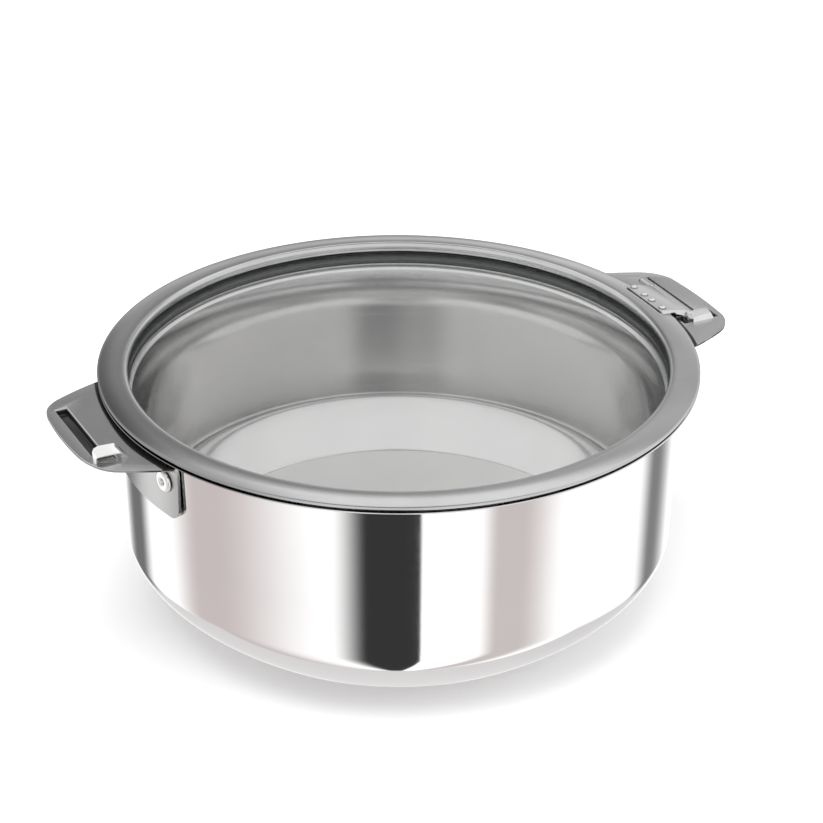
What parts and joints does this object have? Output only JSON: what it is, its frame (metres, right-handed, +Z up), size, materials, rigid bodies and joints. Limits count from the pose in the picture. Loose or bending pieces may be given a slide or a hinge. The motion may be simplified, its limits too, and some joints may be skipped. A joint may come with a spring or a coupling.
{
  "type": "insulated serving pot with hinged lid ring",
  "caption": "Round double-walled steel serving pot with slotted side grips and a glazed lid ring that hinges up from one grip.",
  "frame": {"origin": "on the table plane, under the middle of the round pot", "axes": "+Z up along the pot's axis; +X from the pot's axis to the grip that holds the hinge; +Y to the far end of both grips' slots, away from the picture's viewer"},
  "size_m": [0.284, 0.24, 0.1031],
  "materials": {
    "shell_steel": "stainless steel, mirror polished, with fine polishing lines round the wall",
    "bowl_steel": "stainless steel, polished",
    "base_steel": "stainless steel, dull as pressed",
    "ring_steel": "stainless steel, satin band with a polished inner lip",
    "grip_steel": "stainless steel, satin, sheet edges bright",
    "leaf_steel": "stainless steel, brushed, lighter than the grips",
    "pin_steel": "stainless steel, drawn wire with a peened head",
    "rivet_steel": "stainless steel, bright",
    "foam": "pale rigid foam, porous",
    "seal_rubber": "matt silicone rubber",
    "lid_glass": "clear toughened glass"
  },
  "bodies": {
    "pot": {"outer_shell": "shell_steel", "inner_bowl": "bowl_steel", "base_disc": "base_steel", "insulation": "foam", "handle_left": "grip_steel", "handle_right": "grip_steel", "handle_rivet_1": "rivet_steel", "handle_rivet_2": "rivet_steel", "handle_rivet_3": "rivet_steel", "handle_rivet_4": "rivet_steel", "hinge_pin": "pin_steel"},
    "lid": {"lid_ring": "ring_steel", "lid_retainer": "bowl_steel", "glass_seal": "seal_rubber", "lid_glass": "lid_glass", "hinge_leaf": "leaf_steel", "leaf_rivet_1": "rivet_steel", "leaf_rivet_2": "rivet_steel", "leaf_rivet_3": "rivet_steel", "leaf_rivet_4": "rivet_steel"}
  },
  "joints": [
    {"name": "lid_hinge", "type": "hinge", "parent": "pot", "child": "lid", "pos_m": [0.129, 0, 0.0976], "axis": [0, 1, 0], "range_deg": [0, 100]}
  ]
}
